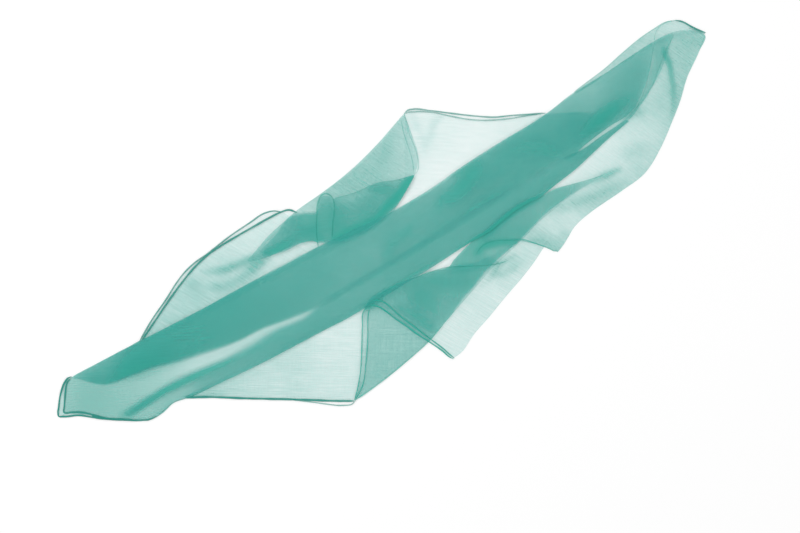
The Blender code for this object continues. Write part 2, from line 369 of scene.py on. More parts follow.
def section_grid(rows):
    """Plan of a sheet: a grid of points and of leaves, stations by columns."""
    rows = np.asarray(rows, float)
    a, b = rows[:, 0:2], rows[:, 2:4]
    run = np.maximum(
        np.linalg.norm(np.diff(a, axis=0), axis=1),
        np.linalg.norm(np.diff(b, axis=0), axis=1),
    )
    where = np.concatenate([[0], np.cumsum(np.maximum(run, 0.5))])
    at = [0.0]
    for i, r in enumerate(run):
        parts = max(1, int(math.ceil(r / STEP)))
        at += list(where[i] + (where[i + 1] - where[i]) * np.arange(1, parts + 1) / parts)
    fine = smooth_through(rows, where, np.array(at))
    a, b, bow = fine[:, 0:2], fine[:, 2:4], fine[:, 4]
    columns = max(3, int(math.ceil(np.linalg.norm(b - a, axis=1).max() / STEP)))
    u = np.linspace(0, 1, columns + 1)
    xy = a[:, None] + (b - a)[:, None] * u[None, :, None]
    d = b - a
    across = np.stack([-d[:, 1], d[:, 0]], axis=1)
    across /= np.maximum(np.linalg.norm(across, axis=1), 1e-6)[:, None]
    xy += across[:, None] * (bow[:, None] * (4 * u * (1 - u))[None])[..., None]
    na, nm, nb = fine[:, 5:6], fine[:, 6:7], fine[:, 7:8]
    curve = 2 * na - 4 * nm + 2 * nb
    n = na + (4 * nm - 3 * na - nb) * u + curve * u**2
    low = np.minimum(np.minimum(na, nm), nb)
    n = np.maximum(n, np.maximum(low * 0.9, 0.0))
    wide = np.linalg.norm(d, axis=1)[:, None]
    for soft, part in ((fine[:, 8:9], u), (fine[:, 9:10], 1 - u)):
        f = np.clip(wide * part[None] / np.maximum(soft, 0.01), 0, 1)
        n = n * np.where(soft > 0.3, f * f * (3 - 2 * f), 1.0)
    return xy, n, u


def ring(xy):
    top, bottom = xy[:, 0], xy[::-1, -1]
    return np.concatenate([top, xy[-1, 1:-1], bottom, xy[0, -2:0:-1]])


def sheet(name, rows, over=(), creases=(), grain=0.0, node=None, material=None):
    """One stretch of the cloth."""
    xy, n, u = section_grid(rows)
    s, c = xy.shape[:2]
    flat = xy.reshape(-1, 2)
    OUTLINES[name] = ring(xy)[::3]
    z = lie(flat, over)
    leaves = n.ravel().copy()
    for crease in creases:
        # Creases darken the cloth with more leaves: partly gathered cloth, partly painted fold shade.
        crease_leaves_and_shade, lift = crease_weight(flat, crease)
        leaves += crease_leaves_and_shade
        z += lift
    leaves = np.maximum(leaves, 0.05)
    verts = np.concatenate([flat, z[:, None]], axis=1) * MM
    i = np.arange(s - 1)[:, None] * c + np.arange(c - 1)[None]
    faces = np.stack([i, i + c, i + c + 1, i + 1], axis=-1).reshape(-1, 4)
    p0, p1, p3 = verts[faces[:, 0]], verts[faces[:, 1]], verts[faces[:, 3]]
    if np.cross(p1 - p0, p3 - p0)[:, 2].sum() < 0:
        faces = faces[:, ::-1]
    obj = mesh_piece(name, verts, faces.tolist(), leaves, grain_of(flat, grain), material or CLOTH)
    finish_sheet(node)
    return obj


def finish_sheet(node):
    if node:
        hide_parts(node)


def rolled_fold(name, rows, over=(), creases=(), grain=0.0, node=None, peak=0.5):
    """A fold of many leaves: a flattened tube, crowned above and flat below. Its
    rows end with crown, its height in mm."""
    rows = np.asarray(rows, float)
    xy, n, u = section_grid(rows[:, :10])
    a = rows[:, 0:2]
    where_rows = np.arange(len(rows))
    s, c = xy.shape[:2]
    run = np.maximum(
        np.linalg.norm(np.diff(rows[:, 0:2], axis=0), axis=1),
        np.linalg.norm(np.diff(rows[:, 2:4], axis=0), axis=1),
    )
    at = [0.0]
    for i, r in enumerate(run):
        parts = max(1, int(math.ceil(r / STEP)))
        at += list(i + np.arange(1, parts + 1) / parts)
    crown = np.interp(at, where_rows, rows[:, 10])
    flat = xy.reshape(-1, 2)
    OUTLINES[name] = ring(xy)[::3]
    base = lie(flat, over)
    warp = u ** (math.log(0.5) / math.log(peak))
    dome = np.sin(math.pi * warp) ** 1.2
    top = base + (crown[:, None] * dome[None]).ravel()
    leaves_top = n.ravel().copy()
    shade = np.zeros(s * c)
    for crease in creases:
        # Creases darken the top with more leaves: partly gathered cloth, partly painted fold shade.
        crease_leaves_and_shade, lift = crease_weight(flat, crease)
        shade += crease_leaves_and_shade
        edge = np.tile(np.minimum(1, 12 * u * (1 - u)), s)
        top += lift * edge
    leaves_top = np.maximum(leaves_top + shade, 0.1)
    leaves_low = np.maximum(n.ravel(), 0.1)
    inner = np.arange(1, c - 1)
    low = (np.arange(s)[:, None] * c + inner[None]).ravel()
    verts = np.concatenate(
        [
            np.concatenate([flat, top[:, None]], axis=1),
            np.concatenate([flat[low], base[low, None]], axis=1),
        ]
    ) * MM
    leaves = np.concatenate([leaves_top, leaves_low[low]])
    grain_xy = np.concatenate([flat, flat[low] + 37.0])
    loop = np.zeros((s, 2 * c - 2), int)
    loop[:, :c] = np.arange(s)[:, None] * c + np.arange(c)[None]
    loop[:, c:] = s * c + np.arange(s)[:, None] * (c - 2) + np.arange(c - 3, -1, -1)[None]
    i0, i1 = loop[:-1], loop[1:]
    faces = np.stack(
        [i0, i1, np.roll(i1, -1, axis=1), np.roll(i0, -1, axis=1)], axis=-1
    ).reshape(-1, 4)
    p = verts[faces[: c - 1]]
    if np.cross(p[:, 1] - p[:, 0], p[:, 3] - p[:, 0])[:, 2].sum() < 0:
        faces = faces[:, ::-1]
    obj = mesh_piece(name, verts, faces.tolist(), leaves, grain_of(grain_xy, grain), BAND_CLOTH)
    # Above and below meet at the rim, which is not shaded as a rounded one.
    rim = {i for i in range(s * c) if i % c in (0, c - 1)}
    for edge in obj.data.edges:
        edge.use_edge_sharp = edge.vertices[0] in rim and edge.vertices[1] in rim
    finish_sheet(node)
    return obj


HEM_POINTS = 5
HEM_HIGH = 0.5  # mm


def hems(name, runs, material):
    """Rolled edges: low arches along the sheets' edges. Each run is half its width,
    the leaves in it, the sheets it lies on, and its points."""
    verts, faces, leaves, grain = [], [], [], []
    u = np.linspace(-1, 1, HEM_POINTS)
    count_before = 0
    for half, count, over, points in runs:
        line = resample(points, 2.2)
        t = np.gradient(line, axis=0)
        t /= np.linalg.norm(t, axis=1)[:, None]
        across = np.stack([-t[:, 1], t[:, 0]], axis=1)
        s = places(line)
        z = lie(line, over) + 0.12
        wide = half * (1 + 0.10 * np.sin(s / 9.0) + 0.07 * np.sin(s / 3.7 + 1.0))
        wide *= 0.3 + 0.7 * np.clip(np.minimum(s, s[-1] - s) / 7.0, 0, 1)
        xy = line[:, None] + across[:, None] * (wide[:, None] * u[None])[..., None]
        up = z[:, None] + HEM_HIGH * min(1, half) * np.sqrt(1 - 0.98 * u[None] ** 2)
        v = np.concatenate([xy, up[..., None]], axis=2)
        verts.append(v.reshape(-1, 3) * MM)
        leaves.append(np.full(len(line) * HEM_POINTS, float(count)))
        turns = np.tile(u * half * MM, len(s))
        grain.append(np.stack([np.repeat(s, HEM_POINTS) * MM, turns, 0 * turns], axis=1))
        ids = count_before + np.arange(len(line) * HEM_POINTS).reshape(len(line), HEM_POINTS)
        q = np.stack([ids[:-1, :-1], ids[1:, :-1], ids[1:, 1:], ids[:-1, 1:]], axis=-1)
        faces += q.reshape(-1, 4).tolist()
        count_before += len(line) * HEM_POINTS
    obj = mesh_piece(
        name, np.concatenate(verts), faces, np.concatenate(leaves), np.concatenate(grain), material
    )
    return obj


# ---------------------------------------------------------------- the sheets
# A row: a x, a y, b x, b y, bow, leaves at a, middle and b, soft width at a and at b. The leaves hold painted shade as
# well as cloth, more of it towards the left end and the lower left.
# bow moves the section's middle towards the left of the way from a to b.
# A crease's row: x, y, reach to its left and right, leaves it adds, lift. The leaves it adds are partly gathered cloth,
# partly painted fold shade.
# Rows at the left end carry more leaves: gathered cloth and painted shade.
BAND_BASE = [
    (-446, -237.5, -448.5, -269.5, 0, 5.4, 5.4, 5.4, 0, 0),
    (-442.5, -228, -442.5, -272.5, 0, 5.5, 5.5, 5.5, 0, 0),
    (-439.5, -224.5, -440, -272.5, 0, 7.7, 8.1, 8.7, 0, 4),
    (-429, -217.5, -426, -272.5, 0, 9.2, 10, 10.6, 0, 4),
    (-398, -201, -398, -274.5, 0, 9, 11.1, 10.9, 0, 3),
    (-366, -184.5, -367.5, -277.5, 0, 9, 9.9, 10.4, 0, 0),
    (-331.5, -167, -329.5, -279, 0, 8, 8.4, 10, 0, 0),
    (-307.5, -155, -306.5, -270, 0, 7, 7.4, 10, 0, 0),
    (-279.5, -140.5, -287.5, -253, 0, 7, 6.3, 8, 0, 0),
    (-251.5, -125.5, -268.5, -247.5, 0, 7, 5.4, 7, 0, 0),
    (-196, -95, -204, -216, 0, 7, 5.6, 6, 0, 0),
    (-141, -66.5, -147, -188, 0, 6, 6.4, 6, 0, 0),
    (-90, -38.5, -87.5, -156, 0, 6, 6.5, 6, 0, 0),
    (-37.5, -14, -40, -131.5, 0, 6, 6, 6, 0, 0),
    (11.5, 9.5, 15.5, -98.5, 0, 6, 6, 6, 0, 0),
    (61, 38.5, 65.5, -68.5, 0, 5.6, 6, 6, 0, 0),
    (110.5, 72.5, 121.5, -32.5, 0, 4, 5, 6, 0, 0),
    (139, 91.5, 150.5, -15.5, 0, 5, 6, 6, 0, 0),
    (165.5, 107.5, 174, 3.5, 0, 6, 6, 6, 0, 0),
    (178.5, 116, 187, 13.5, 0, 6, 6, 6, 0, 0),
    (192.5, 124.5, 203, 23.5, 0, 6, 6, 6, 0, 0),
    (214, 137, 220.5, 32, 0, 6, 6, 6, 0, 0),
    (237, 153.5, 244, 51, 0, 5.5, 5.5, 5.5, 0, 0),
    (262.5, 172.5, 269.5, 70.5, 0, 5, 5, 5, 0, 0),
    (311.5, 204, 307, 107.5, 0, 5, 5.4, 5, 0, 0),
    (349, 229.5, 343, 138.5, 1.5, 5.8, 6.3, 5.8, 0, 0),
    (370.5, 243, 352, 148.5, 5.5, 6.2, 6.5, 6.4, 0, 0),
    (387, 253, 365.5, 167, 5.5, 6, 6.8, 7, 0, 0),
    (405, 260, 377.5, 187, 3, 3.4, 4.8, 6, 0, 0),
]
BAND_BASE_MARKS = [
    [(-366.5, -274.5, 5.5, 4, 0, 0), (-349.5, -267.5, 5.5, 5.5, 8, 0.4), (-333, -258, 5, 4, 9, 0.4), (-316, -247, 4, 4, 4, 0.3), (-299.5, -236.5, 4, 4, 0, 0)],
    [(-369, -226.5, 8.5, 5.5, 0, 0), (-335.5, -215.5, 9.5, 7, 3, 0), (-294, -201.5, 9.5, 7, 2, 0), (-252.5, -189, 8.5, 7, 0, 0)],
]
UPPER_FOLD = [
    (-428.5, -217.5, -431, -219.5, 0, 2, 2, 2, 0, 0, 0.6),
    (-413, -209.5, -419, -221.5, 0, 2.5, 3.5, 3.5, 0, 0, 1.4),
    (-391, -197, -402.5, -227, 0, 3, 5, 7, 0, 3, 2.4),
    (-374, -188, -384.5, -230, 0, 4, 6, 9, 0, 4, 3.8),
    (-363, -182, -372, -228, 0, 5, 9, 14, 0, 7, 4.2),
    (-352, -176.5, -359.5, -223, 0, 6, 14, 24, 0, 8.5, 4.2),
    (-338.5, -169, -342.5, -217, 0, 9, 15, 24, 0, 9.5, 4.6),
    (-321.5, -161, -320.5, -209, 0, 10, 14, 20, 0, 9.5, 4.8),
    (-286.5, -143, -285.5, -200.5, 0, 9.5, 10.5, 11, 0, 9.5, 5.2),
    (-251.5, -125, -250, -189, 0, 8.5, 9.5, 9, 0, 8.5, 5.6),
    (-196, -94.5, -194, -167.5, 0, 7.5, 8, 8, 0, 5.5, 6.0),
    (-169, -80, -167, -153.5, 0, 6.8, 7.2, 7.4, 0, 5.5, 6.2),
    (-141, -65.5, -137.5, -142.5, 0, 6.2, 6.6, 6.8, 0, 5.5, 6.4),
    (-90, -38.5, -83.5, -122.5, 0, 5.8, 6, 6, 0, 8.5, 6.8),
    (-37.5, -13, -44, -103, 0, 5.2, 5.3, 5.3, 0, 16.5, 6.8),
    (11.5, 10.5, 9, -72.5, 0, 5.2, 5.5, 5.5, 0, 16.5, 6.8),
    (61, 39.5, 71.5, -35, 0, 4.3, 5.8, 5.8, 3, 16.5, 6.6),
    (110.5, 73, 141, 7, 0, 4.2, 8.1, 6.2, 3, 16.5, 6.4),
    (165.5, 109, 224.5, 57.5, 0, 6.4, 7.5, 6.4, 1.5, 16.5, 6),
    (214, 137.5, 252.5, 79, 0, 4.2, 7, 7, 0, 11, 5.4),
    (237.5, 154, 267.5, 89.5, 0, 3.3, 6.5, 7.5, 0, 0, 5.0),
    (262.5, 174, 278.5, 100.5, 0, 3.2, 6, 8, 0, 0, 4.6),
    (290, 191.5, 300.5, 118, 0, 3.2, 4.4, 7, 0, 0, 4.0),
    (311.5, 204.5, 320, 132, 0, 3.9, 5.0, 6.5, 0, 0, 3.4),
    (332.5, 218.5, 337.5, 142.5, 0, 3.7, 5.4, 5.5, 0, 0, 3),
    (354.5, 233, 351, 155.5, 2, 3.7, 5.5, 5.1, 0, 0, 2.4),
    (376.5, 247.5, 355, 162.5, 5.5, 2.9, 4.0, 4.4, 0, 0, 1.6),
]
UPPER_FOLD_MARKS = [
    [(141, 80.5, 7, 7, 0, 0), (132, 73.5, 9.5, 9.5, 7, 0.25), (119, 55, 9.5, 9.5, 10.5, 0.3), (102, 38, 9.5, 8.5, 9.5, 0.3), (83.5, 26.5, 8.5, 7, 5.5, 0.15), (76, 12.5, 5.5, 5.5, 0, 0)],
    [(88.5, 60, 5.5, 5.5, 0, 0), (103, 64.5, 7, 7, 6, 0), (123, 78, 7, 7, 4, 0), (144, 90.5, 8.5, 7, 0, 0)],
    [(164.5, 86, 7, 8.5, 0, 0), (199.5, 101.5, 12.5, 12.5, 3.6, 0.15), (217.5, 101.5, 14, 14, 3.6, 0.25), (231.5, 96, 12.5, 12.5, 3.6, 0.2), (248, 90.5, 8.5, 8.5, 2, 0), (262, 94.5, 7, 7, 0, 0)],
    [(273, 114, 7, 8.5, 0, 0), (287, 125, 9, 9, 8, 0.3), (299.5, 136.5, 9.5, 9.5, 16, 0.5), (310.5, 146, 9.5, 9.5, 18, 0.5), (322, 155, 9, 9, 15, 0.4), (333.5, 162.5, 8.5, 8.5, 8, 0.3), (345.5, 168.5, 7, 7, 4, 0.2), (359.5, 175, 5.5, 5.5, 0, 0)],
    [(0.5, -66.5, 7, 7, 0, 0), (9, -47.5, 8.5, 7, 3.5, 0.2), (20, -29, 8.5, 7, 4, 0.3), (35.5, -15.5, 7, 7, 3, 0.2), (48, -5.5, 5.5, 5.5, 0, 0)],
    [(19, -54, 5.5, 5.5, 0, 0), (67.5, -23.5, 5.5, 5.5, 1.5, 0.2), (123, 12.5, 5.5, 5.5, 3, 0.2), (176, 40.5, 5.5, 5.5, 2.5, 0.2), (206.5, 53, 5.5, 5.5, 0, 0)],
    [(88.5, -7, 7, 7, 0, 0), (123, 28, 7, 7, -2, 0), (164.5, 53, 7, 7, -2, 0), (192.5, 69.5, 7, 7, 0, 0)],
    [(-41, -40.5, 9.5, 9.5, 0, 0), (-13, -41.5, 12.5, 12.5, -1.2, 0), (-2, -62.5, 11, 11, -1.2, 0), (-23, -90.5, 9.5, 9.5, 0, 0)],
]
LOWER_FOLD = [
    (-362, -267, -343.5, -278, 0, 0.8, 0.6, 0.6, 12.5, 0, 0.3),
    (-346, -253.5, -325.5, -276.5, 0, 1.2, 0.4, 0.4, 11, 0, 0.7),
    (-325.5, -240.5, -306.5, -269, 0, 2, 0.4, 0.6, 9.5, 0, 1.2),
    (-306.5, -229, -293, -256, 0, 2.6, 1.0, 1.6, 9.5, 0, 1.8),
    (-288.5, -217.5, -275.5, -248.5, 0, 3, 1.4, 2.2, 9.5, 0, 2.4),
    (-254.5, -203, -239, -232.5, 0, 4, 4.2, 4.6, 11, 0, 3.0),
    (-219, -188.5, -202.5, -216, 0, 5, 5, 5.4, 11, 0, 3.6),
    (-185.5, -169.5, -165, -198, 0, 4, 5.2, 6.3, 12.5, 0, 4.4),
    (-151, -151, -129, -179, 0, 4.8, 5.6, 6.5, 8.5, 0, 5),
    (-113.5, -135.5, -87.5, -157, 0, 6, 6, 6.5, 8.5, 0, 5.4),
    (-88.5, -115.5, -40, -132.5, 0, 5.5, 5.5, 6, 11, 0, 5.6),
    (-50.5, -89, 15.5, -99, 0, 5.3, 5.3, 5.5, 16.5, 0, 5.8),
    (2, -57.5, 65.5, -68.5, 0, 5.8, 6, 6, 16.5, 0, 5.8),
    (64.5, -20, 121.5, -32.5, 0, 6.2, 6, 6, 16.5, 0, 5.6),
    (102, 3, 150.5, -16, 0, 6.2, 6.2, 6.4, 16.5, 0, 5.4),
    (134, 21.5, 174, 3.5, 0, 6.2, 6.2, 7, 16.5, 0, 5.2),
    (156.5, 35.5, 187, 13.5, 0, 6.2, 6.2, 7, 16.5, 0, 5.0),
    (181.5, 50, 203, 23, 0, 6.2, 6.3, 7, 16.5, 0, 4.8),
    (206.5, 64.5, 220.5, 32, 0, 6.2, 6.5, 7, 16.5, 0, 4.6),
    (231.5, 78.5, 244, 50.5, 0, 6.4, 6.6, 7, 12.5, 0, 4.2),
    (249, 87.5, 269.5, 70.5, 0, 7, 7, 7, 8.5, 0, 3.6),
    (276, 96.5, 292, 91.5, 0, 8, 8, 8, 0, 0, 2.8),
    (303.5, 115.5, 317.5, 115, 0, 7, 7, 7, 0, 0, 2.0),
    (339, 139.5, 344, 137, 0, 5, 5, 5, 0, 0, 0.8),
]
LOWER_FOLD_MARKS = [
    [(-352.5, -269, 5, 4, 3, 0), (-335.5, -259, 5, 4, 10, 0.3), (-319, -248.5, 4.5, 4, 15, 0.5), (-302.5, -238, 4, 4, 20, 0.6), (-285.5, -229, 4, 5, 20, 0.6), (-266, -219.5, 4, 5, 17, 0.6), (-245.5, -210, 3.5, 5.5, 12, 0.5), (-221.5, -200, 4, 5.5, 8, 0.5), (-196.5, -188.5, 4, 5.5, 4, 0.4), (-171.5, -175.5, 4, 5.5, 3, 0.3), (-148, -164, 4, 5.5, 1.5, 0.2), (-124.5, -153, 5.5, 5.5, 0, 0)],
    [(-41, -127, 3.5, 3, 2, 0), (12, -95, 3.5, 3, 5, 0), (64.5, -64, 3.5, 3, 5, 0), (99.5, -44, 3.5, 3, 3, 0), (120, -32.5, 3, 4, 14, 0.1), (134.5, -24.5, 3, 4, 25, 0.1), (148.5, -16.5, 2.5, 4, 24, 0.1), (159, -7.5, 2.5, 4, 24, 0.1), (172, 4, 2.5, 4, 24, 0.1), (185, 14, 2.5, 4, 24, 0.1), (201, 23.5, 2.5, 4, 20, 0.1), (218, 32.5, 3, 4, 8, 0.1), (237, 47.5, 3, 3, 3, 0), (269, 73, 3, 3, 0, 0)],
]
INNER_PANEL = [
    (164.5, 109, 171.5, 101.5, 0, 0.5, 0.5, 0.5, 0, 3),
    (195.5, 128, 213.5, 97.5, 0, 2.7, 1.5, 0.4, 4, 7),
    (227.5, 148, 251, 89, 0, 3.4, 3.1, 2.2, 2, 8.5),
    (248, 149.5, 269, 97.5, 0, 5, 5, 3, 1.5, 8.5),
    (269, 150.5, 290, 114, 0, 5.5, 6, 4, 1.5, 8.5),
    (290, 151, 306.5, 128, 0, 3, 5, 3, 5, 8.5),
    (306.5, 153.5, 320.5, 140.5, 0, 1, 2.5, 2, 7, 7),
    (326, 162.5, 333, 154.5, 0, 0.3, 0.6, 0.3, 4, 4),
]
# Rows towards the left carry more leaves: cloth and painted shade.
LOWER_LEFT = [
    (-274.5, -245.5, -270.5, -248.5, 0, 8, 8, 8, 0, 0),
    (-231.5, -222.5, -231.5, -247, 0, 7.5, 7.5, 7.5, 8.5, 0),
    (-203.5, -208.5, -202, -247.5, 0, 5.5, 5.5, 5.5, 11, 0),
    (-169, -192, -166, -248.5, 0, 4.8, 4.8, 5, 11, 0),
    (-113.5, -161, -113.5, -249.5, 0, 4.45, 4.45, 4.65, 11, 0),
    (-82.5, -145.5, -81.5, -250.5, 0, 3.25, 3.45, 4.05, 11, 0),
    (-57.5, -132, -55, -251.5, 0, 2.95, 3.25, 4.25, 11, 0),
    (-41, -122.5, -39.5, -251.5, 0, 2.95, 3.15, 4.05, 11, 0),
    (-19, -108.5, -6.5, -231, 0, 4, 4, 4, 11, 0),
    (-5, -100, 31.5, -199.5, 0, 4, 4, 4, 11, 0),
    (12, -90.5, 67, -166.5, 0, 4, 4, 4, 11, 0),
    (25.5, -83.5, 87, -143.5, 0, 4, 4, 4, 11, 0),
    (46, -80.5, 105, -122.5, 0, 4, 4, 4, 0, 0),
    (67.5, -65.5, 127.5, -96, 0, 1.0, 2.8, 3, 0, 0),
    (91, -50, 147.5, -71.5, 0, 0.6, 2.8, 3, 0, 0),
    (121.5, -30.5, 163.5, -59, 0, 0.6, 3, 4, 0, 0),
]
WEDGE = [
    (-38, -250, -35.5, -249.5, 0, 5.6, 5.6, 5.6, 0, 0),
    (-32, -228, -6.5, -228.5, 0, 6, 6, 6, 0, 0),
    (-28.5, -197.5, 31.5, -199, 0, 6, 6, 6, 0, 0),
    (-27, -161, 67, -166.5, 0, 5.4, 5.4, 6, 0, 0),
    (-25.5, -130.5, 87, -143.5, 0, 5.4, 6, 7, 0, 0),
    (-17.5, -111, 98.5, -130, 0, 6.8, 7.6, 8, 3, 0),
    (12.5, -91.5, 114.5, -108.5, 0, 10, 11.2, 9.6, 3, 3),
    (45, -80, 131, -91, 0, 12, 15, 12, 0, 4),
    (70, -71.5, 139, -80.5, 0, 12, 13.4, 10, 0, 4),
    (93.5, -65, 148, -69.5, 0, 12.5, 12.6, 9.6, 0, 4),
    (99.5, -56.5, 159, -58.5, 0, 13.5, 13, 12, 0, 4),
    (107.5, -47, 170.5, -48.5, 0, 15, 13, 12, 1.5, 4),
    (123.5, -31.5, 192.5, -29, 0, 17, 15, 12.5, 1.5, 4),
    (151, -5.5, 217, -4, 0, 12.5, 12.4, 11.6, 9.5, 4),
    (189.5, 25, 235.5, 12.5, 0, 11.6, 11.4, 10.4, 9.5, 4),
    (221, 34.5, 250, 23.5, 0, 12.2, 12, 11, 3, 4),
    (244, 44, 267, 35.5, 0, 11.5, 11.2, 9.8, 0, 4),
    (266.5, 50, 280, 43.5, 0, 9, 8, 6, 0, 4),
    (287, 55.5, 294.5, 52, 0, 6, 5, 3, 0, 3),
    (306.5, 62.5, 309.5, 60, 0, 3, 2, 1.5, 0, 3),
]
WEDGE_MARKS = [
    [(-28.5, -126.5, 4, 4, 0, 0), (-17.5, -118, 5.5, 5.5, 16, 0.3), (-5, -111, 5.5, 5.5, 8, 0.2), (7.5, -105.5, 4, 4, 0, 0)],
    [(128.5, -32.5, 3, 3, 0, 0), (139.5, -25, 3.5, 3.5, 8, 0), (151, -16.5, 4, 3.5, 14, 0), (162, -7, 4, 3.5, 15, 0), (176, 4, 4, 3.5, 15, 0), (188.5, 13, 4, 3.5, 15, 0), (203.5, 22, 4, 3.5, 13, 0), (220.5, 30.5, 3.5, 3.5, 6, 0), (228.5, 35, 3, 3, 0, 0)],
    [(89.5, -68, 4, 5.5, 0, 0), (109, -66, 4, 5.5, 4.5, 0.4), (137, -64.5, 4, 4, 2.5, 0.5), (158, -63, 4, 4, 1.5, 0.3), (173, -60, 4, 4, 0, 0)],
    [(127, -53, 5.5, 4, 0, 0), (132.5, -46.5, 5.5, 5, 6, 0.3), (139.5, -38, 5.5, 5.5, 11, 0.6), (151, -33, 4, 5.5, 14, 0.7), (164.5, -30.5, 4, 5.5, 12, 0.7), (180, -30.5, 4, 5, 10, 0.6), (194, -31.5, 4, 4, 6, 0.4), (206.5, -33.5, 4, 3.5, 0, 0)],
    [(32.5, -115.5, 8.5, 8.5, 0, 0), (50.5, -107, 11, 11, 5, 0.1), (64.5, -115.5, 11, 11, 5, 0.1), (76, -132, 8.5, 8.5, 2, 0), (81.5, -146, 7, 7, 0, 0)],
    [(19, -97.5, 7, 7, 0, 0), (28.5, -111, 7, 7, -1.5, 0), (37, -128, 5.5, 5.5, -1, 0), (45, -142, 5.5, 5.5, 0, 0)],
    [(-32, -237.5, 2, 2, 0, 0), (-27, -216.5, 3.5, 3.5, -2.6, 0), (-24.5, -180, 4, 4, -3.4, 0), (-22.5, -147.5, 4, 4, -3.4, 0), (-21.5, -132, 3, 3, -1.5, 0), (-19, -123.5, 3, 3, 0, 0)],
]
LOWER_FLAP = [
    (-14.5, -114, 100, -192, 0, 3.4, 3.2, 3.2, 0, 0),
    (0.5, -101.5, 111.5, -183, 0, 3.4, 3.2, 3.2, 0, 0),
    (20, -90.5, 128.5, -158.5, 0, 3.4, 3.2, 3.2, 0, 0),
    (46, -80, 151, -132.5, 0, 3.4, 3.5, 3.5, 0, 0),
    (70, -71, 176.5, -101.5, 0, 3.4, 3.5, 3.7, 0, 0),
    (94, -64.5, 196, -79, 0, 4, 4.6, 3.8, 0, 0),
    (123, -59, 209.5, -61.5, 0, 4, 5, 4, 8.5, 0),
    (156.5, -44.5, 221.5, -44, 0, 4, 4.5, 4.4, 8.5, 0),
    (185.5, -25, 227.5, -36, 0, 4, 4.2, 4.4, 5.5, 0),
]
LOWER_FLAP_MARKS = [
    [(14.5, -115.5, 8.5, 8.5, 0, 0), (25.5, -121, 9.5, 9.5, 4, 0.1), (39.5, -128, 12.5, 12.5, 7, 0.2), (55, -139, 12.5, 12.5, 7, 0.2), (69, -148.5, 9.5, 9.5, 5, 0.1), (78.5, -153, 5.5, 5.5, 0, 0)],
    [(145.5, -66.5, 4, 4, 0, 0), (159, -75, 7, 5.5, 2.2, 0.8), (173, -72.5, 7, 5.5, 2.2, 0.8), (187, -64, 7, 5.5, 1.4, 0.6), (198, -53, 5.5, 5.5, 0, 0)],
    [(134, -94.5, 4, 4, 0, 0), (151, -80.5, 4, 4, 2, 0.3), (164.5, -61, 4, 4, 4, 0.4), (181.5, -51.5, 4, 4, 2, 0.3), (195.5, -44.5, 4, 4, 0, 0)],
]
UPPER_FLAP = [
    (380, 248.5, 427.5, 264.5, 4, 3.4, 3.4, 3.4, 0, 0),
    (377.5, 244, 441.5, 261.5, 3.5, 4, 5.2, 6, 0, 0),
    (376, 239, 449, 257.5, 2, 4.2, 7.6, 8.4, 0, 0),
    (373, 225, 440.5, 233, 0, 4.6, 8.2, 7.6, 8.5, 0),
    (367.5, 201.5, 424, 197, 0, 4, 6.6, 8, 8.5, 0),
    (359.5, 178, 415, 166, 0, 4.8, 6.6, 8.2, 8.5, 0),
    (345.5, 155.5, 404, 138, 0, 6.5, 5.5, 6.4, 7, 0),
    (331.5, 139, 388, 101, 0, 5, 4.3, 5.5, 7, 0),
    (313.5, 119.5, 365.5, 65, 0, 2.8, 4.1, 6.1, 7, 0),
    (290, 98.5, 334, 41, 0, 2.4, 3.8, 6.4, 8.5, 0),
    (259, 72.5, 290.5, 11, 0, 0.9, 4.4, 5.8, 11, 0),
    (220.5, 41.5, 269, -8, 0, 0.9, 3.8, 4.2, 11, 0),
    (181.5, 16.5, 259, -24, 1.5, 4, 4.4, 6, 11, 0),
    (153.5, -3, 251.5, -36, 4, 4, 5.8, 7, 11, 0),
    (137, -32, 245, -44.5, 9, 4, 4.5, 8, 4, 0),
]
UPPER_FLAP_MARKS = [
    [(390, 244.5, 4, 4, 0, 0), (393, 232, 4.5, 3.5, 10, 0.8), (399, 217.5, 4, 3, 11, 0.9), (402.5, 199.5, 4, 3.5, 8, 0.8), (405, 181.5, 4.5, 3.5, 6, 0.6), (405.5, 165.5, 5, 4, 4.5, 0.5), (404.5, 150, 5, 4, 2.5, 0.3), (402.5, 133.5, 4, 4, 0, 0)],
    [(283, 44.5, 5.5, 5.5, 0, 0), (298, 55, 5.5, 5.5, 3, 0.8), (312, 62, 5, 5, 8, 1.0), (324.5, 68, 4, 4, 6, 0.8), (337, 72.5, 4, 4, 0, 0)],
    [(342.5, 144.5, 7, 5.5, 4, 0.4), (351, 148.5, 7, 5.5, 4, 0.5), (362, 150, 7, 7, 2, 0.4), (373, 151.5, 5.5, 5.5, 0, 0)],
    [(359.5, 114, 11, 11, 0, 0), (359.5, 103, 12.5, 12.5, 1.5, 0.5), (345.5, 94.5, 11, 11, 1.5, 0.5), (328.5, 86, 9.5, 9.5, 0, 0)],
    [(198, -29, 4, 4, 0, 0), (212, -28.5, 5.5, 5.5, 3, 0.5), (227.5, -32.5, 5.5, 5.5, 3, 0.6), (240, -39, 4, 4, 1.5, 0.4), (248, -39, 4, 4, 0, 0)],
    [(227.5, -11, 4, 4, 0, 0), (242.5, -16.5, 5.5, 5.5, -0.8, -0.3), (252.5, -14, 4, 4, 0, 0)],
    [(220.5, 3, 7, 7, 0, 0), (242.5, 15.5, 8.5, 8.5, 2.4, 0.2), (265, 23, 8.5, 8.5, 3, 0.2), (292.5, 32, 8.5, 8.5, 2.8, 0.2), (322, 44.5, 8.5, 8.5, 2.6, 0.2), (345.5, 55.5, 7, 7, 0, 0)],
]
